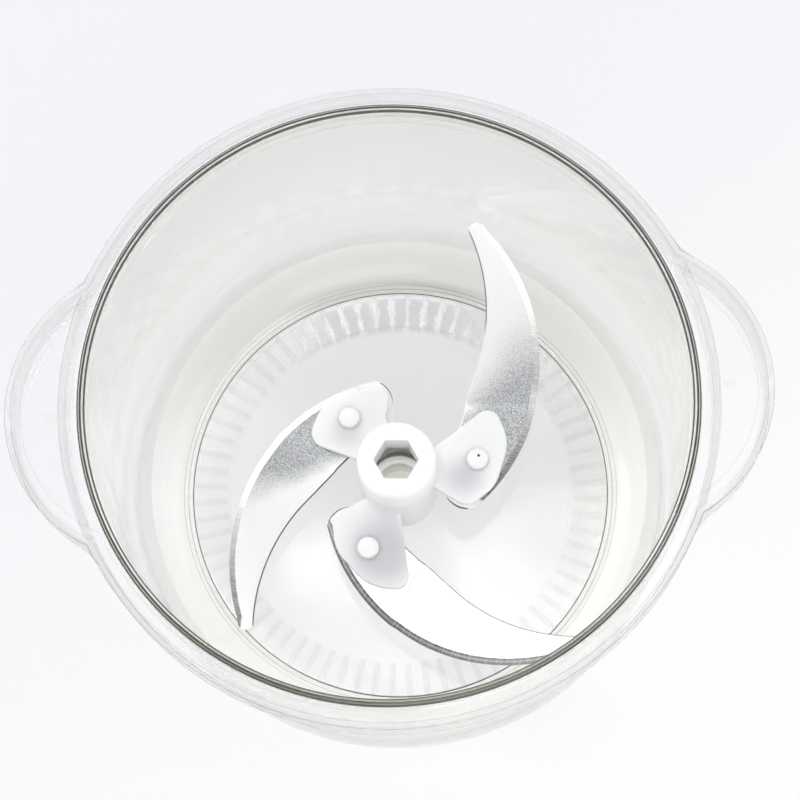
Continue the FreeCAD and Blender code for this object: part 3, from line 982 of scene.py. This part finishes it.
def column_mesh(s):
    """Column and arms as one moulding, softened like plastic out of a mould, with a crisp socket."""
    work = bmesh.new()
    top, r = s.column_top, s.column_radius
    profile = [(0, top - s.socket_depth), (s.bore, top - s.socket_depth), (s.bore, s.column_foot)]
    profile.append((r, s.column_foot))
    profile += arc((r - s.column_round, top - s.column_round), s.column_round, 0, 90, 8)
    profile.append((0, top))
    revolved(work, profile, 128)
    soft = s.arm_fillet
    for name, station in STATIONS.items():
        part = bmesh.new()
        level = s.level - s.level_step * station["step"]
        upper = level + s.arm_thick
        plate(part, arm_outline(LOW_ARM_CORNERS if name == "bottom" else ARM_CORNERS), level, upper)
        web = arc((r + soft, upper + soft), soft, 270, 180, 6)
        web = [(r - 1.5 * MM, upper - 0.5 * MM), (r + soft, upper - 0.5 * MM)] + web
        web.append((r - 1.5 * MM, upper + soft))
        sector(part, web, radians(-27), radians(21), 24)
        spin = Matrix.Rotation(s.stake_turn + radians(station["turn"]), 3, "Z")
        bmesh.ops.rotate(part, verts=part.verts, cent=(0, 0, 0), matrix=spin)
        mesh = bpy.data.meshes.new("arm")
        part.to_mesh(mesh)
        part.free()
        work.from_mesh(mesh)
        bpy.data.meshes.remove(mesh)
    rough = placed("moulding", closed(work, "moulding"))
    remesh = rough.modifiers.new("One skin", "REMESH")
    remesh.mode = "VOXEL"
    remesh.voxel_size = 0.34 * MM
    ease = rough.modifiers.new("Soft edges", "SMOOTH")
    ease.factor = 0.5
    ease.iterations = 7
    rough = baked(rough)
    key = bmesh.new()
    across = s.socket_flats / sqrt(3)
    hexagon = [on_circle((0, 0), across, s.socket_turn + n * pi / 3) for n in range(6)]
    plate(key, hexagon, top - s.socket_depth - 2 * MM, top + 2 * MM)
    cutter = placed("key", closed(key, "key"))
    cut = rough.modifiers.new("Socket", "BOOLEAN")
    cut.object = cutter
    cut.operation = "DIFFERENCE"
    cut.solver = "EXACT"
    rough = baked(rough)
    bpy.data.objects.remove(cutter)
    smooth(rough.data, 40)
    return rough


def sector(work, profile, first, last, steps):
    """Adds a closed profile swept round the axis between two angles."""
    rings = []
    for n in range(steps + 1):
        angle = first + (last - first) * n / steps
        rings.append([work.verts.new((r * cos(angle), r * sin(angle), z)) for r, z in profile])
    size = len(profile)
    for here, after in zip(rings, rings[1:]):
        for n in range(size):
            m = (n + 1) % size
            work.faces.new([here[n], here[m], after[m], after[n]])
    work.faces.new(rings[0][::-1])
    work.faces.new(rings[-1])


# Blades

# The flat blade in millimetres, its stake at the origin and its tip towards +X: two arcs and four points
EDGE_CENTRE, EDGE_R, EDGE_ROOT, EDGE_TIP = (31.1, 38.6), 59.2, -141.1, -47.1
BACK_CENTRE, BACK_R, BACK_FIRST, BACK_LAST = (47.9, 53.7), 57.9, -106.7, -66.9
TIP_NOSE, ROOT_NOSE, ROOT_END, ROOT_HEEL = (73.4, -1.6), (-14.8, 5.6), (-11.3, 9.8), (4.0, 7.6)
BLADE_COLUMNS = 220


def resampled(points, steps):
    """Evenly spaced points along a chain of points."""
    spans = [hypot(b[0] - a[0], b[1] - a[1]) for a, b in zip(points, points[1:])]
    total = sum(spans)
    chain, passed, n = [], 0.0, 0
    for step in range(steps + 1):
        goal = total * step / steps
        while n < len(spans) - 1 and passed + spans[n] < goal:
            passed += spans[n]
            n += 1
        share = min(1.0, (goal - passed) / spans[n])
        a, b = points[n], points[n + 1]
        chain.append((a[0] + (b[0] - a[0]) * share, a[1] + (b[1] - a[1]) * share))
    return chain


def flat_blade(s):
    """Flat blade with its stake at the origin: back and edge lines joined by rows, in millimetres first."""
    edge = arc(EDGE_CENTRE, EDGE_R, EDGE_ROOT, EDGE_TIP, BLADE_COLUMNS)
    heel = tangent_corner(ROOT_END, ROOT_HEEL, on_circle(BACK_CENTRE, BACK_R, radians(BACK_FIRST)), 9.0, 12)
    back = [ROOT_END] + heel + arc(BACK_CENTRE, BACK_R, BACK_FIRST, BACK_LAST, 60)
    back = resampled(back, BLADE_COLUMNS)
    root = through(edge[0], ROOT_NOSE, back[0], 40)
    tip = through(edge[-1], TIP_NOSE, back[-1], 40)
    thick, land, bevel = s.blade_thick / MM, s.bevel_land / MM, s.bevel / MM
    # Rows across the blade: millimetres from the edge, then shares of what is left, then the back
    rows = [0, 0.12, 0.5, 1.0, 1.5, bevel, bevel + 0.12]
    rows += [("share", n / 8) for n in range(1, 8)] + [("left", 0.12), ("left", 0)]
    work = bmesh.new()
    uv = work.loops.layers.uv.new("blade")
    back_uv = work.loops.layers.uv.new("back")
    grids = [[], []]
    spots = {}
    for k, (e, b) in enumerate(zip(edge, back)):
        span = hypot(b[0] - e[0], b[1] - e[1])
        columns = ([], [])
        for row in rows:
            if isinstance(row, tuple):
                inner = min(bevel + 0.12, span * 0.8)
                gap = inner + (span - 0.12 - inner) * row[1] if row[0] == "share" else span - row[1]
            else:
                gap = min(row, span * row / (bevel + 0.4)) if span < bevel + 0.4 else row
            share = gap / span
            x, y = e[0] + (b[0] - e[0]) * share, e[1] + (b[1] - e[1]) * share
            for chain, pull in ((root, 1 - k / 4), (tip, 1 - (BLADE_COLUMNS - k) / 4)):
                if pull > 0:
                    curve = chain[min(40, int(share * 40 + 0.5))]
                    flat_x = chain[0][0] + (chain[-1][0] - chain[0][0]) * share
                    flat_y = chain[0][1] + (chain[-1][1] - chain[0][1]) * share
                    x += (curve[0] - flat_x) * pull
                    y += (curve[1] - flat_y) * pull
            over = thick if gap >= bevel else land + (thick - land) * gap / bevel
            if span - gap < 0.1:
                over -= 0.1
            for side, z in ((0, 0.0), (1, over)):
                vert = work.verts.new((x * MM, y * MM, z * MM))
                spots[vert] = (k / BLADE_COLUMNS * BLADE_LENGTH * MM, gap * MM, (span - gap) * MM)
                columns[side].append(vert)
        grids[0].append(columns[0])
        grids[1].append(columns[1])
    under, over = grids
    last = len(rows) - 1
    for k in range(BLADE_COLUMNS):
        for n in range(last):
            work.faces.new([under[k][n], under[k][n + 1], under[k + 1][n + 1], under[k + 1][n]])
            work.faces.new([over[k][n], over[k + 1][n], over[k + 1][n + 1], over[k][n + 1]])
        work.faces.new([under[k][0], under[k + 1][0], over[k + 1][0], over[k][0]])
        work.faces.new([under[k][last], over[k][last], over[k + 1][last], under[k + 1][last]])
    for n in range(last):
        work.faces.new([under[0][n], over[0][n], over[0][n + 1], under[0][n + 1]])
        end = BLADE_COLUMNS
        work.faces.new([under[end][n], under[end][n + 1], over[end][n + 1], over[end][n]])
    for face in work.faces:
        for loop in face.loops:
            along, across, inward = spots[loop.vert]
            loop[uv].uv = (along, across)
            loop[back_uv].uv = (inward, 0.0)
    bmesh.ops.recalc_face_normals(work, faces=work.faces)
    mesh = bpy.data.meshes.new("flat_blade")
    work.to_mesh(mesh)
    work.free()
    smooth(mesh, 12)
    return mesh


def blade_rule(name, sizes, material):
    """Bends a flat blade to its pitch, turns it about its stake and carries it to its arm."""
    rule = Rule("Bent and staked blade, " + name, sizes)
    g = rule.given
    ease = 1.0 * MM
    x, y, z = rule.separate(rule.add("GeometryNodeInputPosition"))
    share = ((x - g["Bend line"]) / ease).math("MAXIMUM", 0.0).math("MINIMUM", 1.0)
    angle = share * g["Pitch"]
    wide = (ease + g["Bend radius"] * abs(g["Pitch"])) / g["Pitch"]
    beyond = (x - g["Bend line"] - ease).math("MAXIMUM", 0.0)
    lift = wide - (z - g["Middle"])
    sine, cosine = angle.math("SINE"), angle.math("COSINE")
    bent_x = x.math("MINIMUM", g["Bend line"]) + lift * sine + beyond * cosine
    bent_z = g["Middle"] + wide - lift * cosine + beyond * sine
    bent = rule.shaped(g["Geometry"], rule.combine(bent_x, y, bent_z))
    swept = rule.moved(
        bent,
        Rotation=rule.combine(0.0, 0.0, g["Sweep"]),
        Translation=rule.combine(g["Stake radius"], 0.0, g["Under"]),
    )
    rule.end(rule.moved(swept, Rotation=rule.combine(0.0, 0.0, g["Turn"])), material)
    return rule


# Rivets

def rivet_rule(sizes, material):
    """A crowned head on a square stake, once at each arm and one step lower each time."""
    rule = Rule("Rivets down the column", sizes)
    g = rule.given
    ball = rule.add("GeometryNodeMeshUVSphere", None, {"Segments": 56, "Rings": 32, "Radius": 1.0})
    x, y, z = rule.separate(rule.add("GeometryNodeInputPosition"))
    crown = z.math("MAXIMUM", 0.0) ** 0.55 * g["Head height"]
    head = rule.shaped(ball, rule.combine(x * g["Head radius"], y * g["Head radius"], crown))
    deep = g["Stake length"]
    size = rule.combine(g["Stake side"], g["Stake side"], deep)
    bar = rule.add("GeometryNodeMeshCube", None, {"Size": size})
    bar = rule.moved(bar, Translation=rule.combine(0.0, 0.0, -deep / 2 + 0.0001))
    rivet = rule.joined(head, bar)
    number = rule.add("GeometryNodeInputIndex")
    spin = g["First turn"] + number * radians(240)
    level = g["First level"] - number * g["Level step"]
    out = g["Stake radius"]
    ring = rule.combine(out * spin.math("COSINE"), out * spin.math("SINE"), level)
    spots = rule.shaped(rule.spots(g["Rivets"]), ring)
    rule.end(rule.copies(spots, rivet, rule.combine(0.0, 0.0, spin)), material)
    return rule


# Operators

UNDOABLE = {"REGISTER", "UNDO"}


def settle(piece, body, slot, *nodes):
    """Rides a finished piece on its body, in place of the CAD nodes that it stands for."""
    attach(piece, body)
    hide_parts(*nodes)


def paint_node(name, material):
    """Gives a CAD node that stays a better material."""
    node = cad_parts[name]
    for slot in node.material_slots:
        slot.material = material


class CHOPPER_OT_bowl(bpy.types.Operator):
    """Make the clear bowl with its lip, flange, skirt, ears and stub"""

    bl_idname = "chopper.bowl"
    bl_label = "Bowl"
    bl_options = UNDOABLE

    def execute(self, context):
        scene = context.scene
        sizes = scene.bowl_sizes
        piece = placed("bowl_moulding", bowl_mesh(sizes), clear_bowl_finish(sizes, scene.colours))
        settle(piece, "bowl", "clear_bowl", "bowl")
        return {"FINISHED"}


class CHOPPER_OT_ring(bpy.types.Operator):
    """Make the ribbed ring under the floor"""

    bl_idname = "chopper.ring"
    bl_label = "Ribbed ring"
    bl_options = UNDOABLE

    def execute(self, context):
        scene = context.scene
        s = scene.ring_sizes
        bowl = scene.bowl_sizes
        sizes = {
            "Inside": s.inner,
            "Outside": s.outer,
            "Base": s.base,
            "Rib inside": s.rib_inner,
            "Rib outside": s.rib_outer,
            "Rib width": s.rib_width,
            "Rib top": bowl.floor - bowl.wall,
            "Ribs": s.ribs,
        }
        piece = ring_rule(sizes, clear_ring_finish(s, scene.colours)).make("ribbed_ring")
        smooth(piece.data, 40)
        settle(piece, "bowl", "clear_ring", "anti_slip_ring")
        return {"FINISHED"}


class CHOPPER_OT_column(bpy.types.Operator):
    """Make the white column with its three arms and the drive socket"""

    bl_idname = "chopper.column"
    bl_label = "Column and arms"
    bl_options = UNDOABLE

    def execute(self, context):
        scene = context.scene
        s, tints = scene.rotor_sizes, scene.colours
        piece = column_mesh(s)
        piece.name = "column_and_arms"
        piece.data.materials.clear()
        # Soft grey painted shade on each arm beside its rivet
        painted_shades = (
            (stake_spot(s, "top", -3.9, -5.0), 9 * MM, 1 * MM, 0.50),
            (stake_spot(s, "bottom", -1.2, -4.7), 8 * MM, 1 * MM, 0.34),
            (stake_spot(s, "middle", 4.5, -1.5), 17 * MM, 4 * MM, 0.60),
        )
        # The column above the arms is drawn lighter: painted highlight
        above = (s.level + s.arm_thick + 3 * MM, tints.lit_white)
        white = white_finish("white_plastic_arms", tints.white, painted_shades, upper=above, depth=5 * MM)
        piece.data.materials.append(white)
        settle(piece, "rotor", "white_plastic", "blade_hub")
        return {"FINISHED"}


class CHOPPER_OT_blades(bpy.types.Operator):
    """Make the three curved blades"""

    bl_idname = "chopper.blades"
    bl_label = "Blades"
    bl_options = UNDOABLE

    def execute(self, context):
        scene = context.scene
        s = scene.rotor_sizes
        flat = flat_blade(s)
        for name, station in STATIONS.items():
            level = s.level - s.level_step * station["step"]
            sizes = {
                "Pitch": radians(station["pitch"]),
                "Bend line": s.bend_line,
                "Bend radius": s.bend_radius,
                "Middle": s.blade_thick / 2,
                "Sweep": s.sweep + radians(station["sweep"]),
                "Stake radius": s.stake_radius,
                "Under": level - s.blade_thick,
                "Turn": s.stake_turn + radians(station["turn"]),
            }
            rule = blade_rule(name, sizes, steel_finish(name, scene.colours))
            piece = rule.make("steel_blade_" + name, flat)
            settle(piece, "rotor", "blade_steel", "blade_" + name)
        return {"FINISHED"}


class CHOPPER_OT_rivets(bpy.types.Operator):
    """Make the three crowned rivets"""

    bl_idname = "chopper.rivets"
    bl_label = "Rivets"
    bl_options = UNDOABLE

    def execute(self, context):
        scene = context.scene
        s = scene.rotor_sizes
        top = s.level + s.arm_thick
        spot = on_circle((0, 0), s.stake_radius + 0.5 * MM, s.stake_turn + radians(1.5))
        mark = (spot[0], spot[1], top + s.rivet_height)
        # Painted shade at the rim of each rivet's head
        shaded_rims = [stake_spot(s, name) for name in STATIONS]
        sizes = {
            "Head radius": s.rivet_radius,
            "Head height": s.rivet_height,
            "Stake side": s.stake_side,
            "Stake length": s.arm_thick + s.blade_thick + s.plate_thick,
            "Stake radius": s.stake_radius,
            "First turn": s.stake_turn,
            "First level": top,
            "Level step": s.level_step,
            "Rivets": len(STATIONS),
        }
        # The rivets are drawn in the lighter white: painted highlight
        white = white_finish("white_plastic_rivets", scene.colours.lit_white, mark=mark, shaded_rims=shaded_rims)
        piece = rivet_rule(sizes, white).make("crowned_rivets")
        smooth(piece.data, 50)
        settle(piece, "rotor", "white_plastic", *("blade_rivet_" + name for name in STATIONS))
        return {"FINISHED"}


class CHOPPER_OT_plates(bpy.types.Operator):
    """Finish the clamp plates under the blades and the sleeve in the column"""

    bl_idname = "chopper.plates"
    bl_label = "Plates and sleeve"
    bl_options = UNDOABLE

    def execute(self, context):
        scene = context.scene
        white = white_finish("white_plastic_plates", scene.colours.white)
        for name in STATIONS:
            paint_node("clamp_plate_" + name, white)
        paint_node("hub_bush", white_finish("matt_plastic_sleeve", scene.colours.sleeve))
        return {"FINISHED"}


# Large lamps: name, place and width in metres, watts
LAMPS = (
    ("window", (-0.9, 0.9, 1.3), 1.3, 6.4),
    ("fill", (1.2, 0.2, 1.2), 1.3, 2.6),
    ("front", (0.2, -1.1, 1.15), 1.0, 2.6),
    ("ceiling", (0.15, 0.02, 1.6), 0.54, 1.8),
    ("left_tip", (-0.30, -0.05, 1.45), 0.35, 0.13),
)
# Where the small lamps mirror in the bowl's floor, in millimetres
GLINTS = ((-32, -20), (-24, -22), (-14, -27), (32, -18), (49, -10), (22, -27))
# Share of the table's tone that it gives off evenly, as seen by the camera and in reflections
TABLE_GLOW = 0.72


class CHOPPER_OT_stage(bpy.types.Operator):
    """Make the floor, the lamps, the world and the camera"""

    bl_idname = "chopper.stage"
    bl_label = "Stage"
    bl_options = UNDOABLE

    def execute(self, context):
        scene = context.scene
        look = scene.stage_look
        self.floor(scene.colours.floor)
        self.world(scene)
        aim = Vector((0, 0, 0.03))
        for name, place, size, power in LAMPS:
            self.lamp(scene, name, Vector(place), aim, size, size, power * look.power)
        floor_level = scene.bowl_sizes.floor
        level = cos(look.elevation)
        eye = Vector((sin(look.azimuth) * level, -cos(look.azimuth) * level, sin(look.elevation)))
        eye = look.distance * eye
        eye.z += scene.bowl_sizes.height
        image = Vector((eye.x, eye.y, 2 * floor_level - eye.z))
        for n, (x, y) in enumerate(GLINTS):
            spot = Vector((x * MM, y * MM, floor_level))
            place = spot + (spot - image) * 2.0
            self.lamp(scene, "tube_%d" % n, place, spot, 0.018, 0.06, 0.03 * look.power)
        self.camera(scene, look)
        return {"FINISHED"}

    def lamp(self, scene, name, place, aim, width, height, power):
        data = bpy.data.lights.new(name, "AREA")
        data.shape = "ELLIPSE"
        data.size, data.size_y = width, height
        data.energy = power
        holder = bpy.data.objects.new(name, data)
        holder.location = place
        holder.rotation_euler = (aim - place).to_track_quat("-Z", "Y").to_euler()
        scene.collection.objects.link(holder)

    def floor(self, tint):
        work = bmesh.new()
        under = Matrix.Translation((0, 0, -0.05 * MM))
        bmesh.ops.create_grid(work, x_segments=8, y_segments=8, size=4.0, matrix=under)
        mesh = bpy.data.meshes.new("table_top")
        work.to_mesh(mesh)
        work.free()
        paint = Finish("table_top")
        place = paint.place()
        x, y, _ = paint.separate(place)
        # The table's glow is painted darker and bluer towards the far side: painted shade
        away = paint.step(y - x * 0.5, -0.16, 0.14)
        shade = paint.mix(paint.noise(place, 6.0, 3.0), colour_of(tint), scaled_colour(tint, 0.985))
        tone = paint.mix(away, (1.0, 1.0, 0.995, 1.0), (0.89, 0.895, 0.93, 1.0))
        matt = paint.add("ShaderNodeBsdfDiffuse", None, {"Color": shade})
        glow = paint.add("ShaderNodeEmission", None, {"Color": tone, "Strength": 1.0})
        path = paint.node("ShaderNodeLightPath")
        rays = ("Is Camera Ray", "Is Glossy Ray", "Is Transmission Ray")
        seen = [Wire(paint, path.outputs[name]) for name in rays]
        share = (seen[0] + seen[1] + seen[2]).math("MINIMUM", 1.0) * TABLE_GLOW
        material = paint.end(paint.add("ShaderNodeMixShader", None, {0: share, 1: matt, 2: glow}))
        placed("table_top", mesh, material)

    def world(self, scene):
        """Even pale surroundings that turn darker overhead, as a white table in a room has."""
        world = bpy.data.worlds.new("room")
        world.use_nodes = True
        sky = Graph(world.node_tree)
        world.node_tree.nodes.clear()
        place = sky.add("ShaderNodeTexCoord", output="Generated")
        x, y, z = sky.separate(place)
        overhead = sky.step(z, 0.84, 0.95)
        shade = sky.mix(overhead, (0.92, 0.93, 0.95, 1.0), (0.50, 0.505, 0.50, 1.0))
        back = sky.add("ShaderNodeBackground", None, {"Color": shade, "Strength": 0.90})
        sky.node("ShaderNodeOutputWorld", None, {"Surface": back})
        scene.world = world

    def camera(self, scene, look):
        """Stands where the photograph was taken from."""
        lip = Vector((0, 0, scene.bowl_sizes.height))
        rise = look.elevation
        ahead = Vector((0, cos(rise + look.tilt), -sin(rise + look.tilt)))
        side = Vector((1, 0, 0))
        up = side.cross(ahead)
        pan, roll = look.pan, look.roll
        ahead, side = (ahead * cos(pan) + side * sin(pan), side * cos(pan) - ahead * sin(pan))
        side, up = (side * cos(roll) + up * sin(roll), up * cos(roll) - side * sin(roll))
        place = lip + Vector((0, -cos(rise), sin(rise))) * look.distance
        stand = Matrix((
            (side.x, up.x, -ahead.x, place.x),
            (side.y, up.y, -ahead.y, place.y),
            (side.z, up.z, -ahead.z, place.z),
            (0, 0, 0, 1),
        ))
        data = bpy.data.cameras.new("photo_camera")
        data.lens = look.lens
        data.sensor_width = 36.0
        data.clip_start = 0.01
        data.clip_end = 20.0
        camera = bpy.data.objects.new("photo_camera", data)
        scene.collection.objects.link(camera)
        camera.matrix_world = Matrix.Rotation(look.azimuth, 4, "Z") @ stand
        scene.camera = camera
        scene.view_settings.view_transform = "Standard"


OPERATORS = (
    CHOPPER_OT_bowl, CHOPPER_OT_ring, CHOPPER_OT_column, CHOPPER_OT_blades,
    CHOPPER_OT_rivets, CHOPPER_OT_plates, CHOPPER_OT_stage,
)


class CHOPPER_PT_makers(bpy.types.Panel):
    """Lists the makers"""

    bl_idname = "CHOPPER_PT_makers"
    bl_label = "Chopper bowl"
    bl_space_type = "VIEW_3D"
    bl_region_type = "UI"
    bl_category = "Bowl"

    def draw(self, context):
        for operator in OPERATORS:
            self.layout.operator(operator.bl_idname)


GROUPS = {
    "bowl_sizes": BowlSizes, "ring_sizes": RingSizes, "rotor_sizes": RotorSizes,
    "colours": Colours, "stage_look": StageLook,
}


def register():
    for name, group in GROUPS.items():
        bpy.utils.register_class(group)
        setattr(bpy.types.Scene, name, bpy.props.PointerProperty(type=group))
    for kind in OPERATORS + (CHOPPER_PT_makers,):
        bpy.utils.register_class(kind)


def unregister():
    for kind in (CHOPPER_PT_makers,) + OPERATORS[::-1]:
        bpy.utils.unregister_class(kind)
    for name, group in GROUPS.items():
        delattr(bpy.types.Scene, name)
        bpy.utils.unregister_class(group)


def main():
    """Makes every piece and the stage."""
    register()
    for operator in OPERATORS:
        space, name = operator.bl_idname.split(".")
        getattr(getattr(bpy.ops, space), name)()


if __name__ == "__main__":
    main()
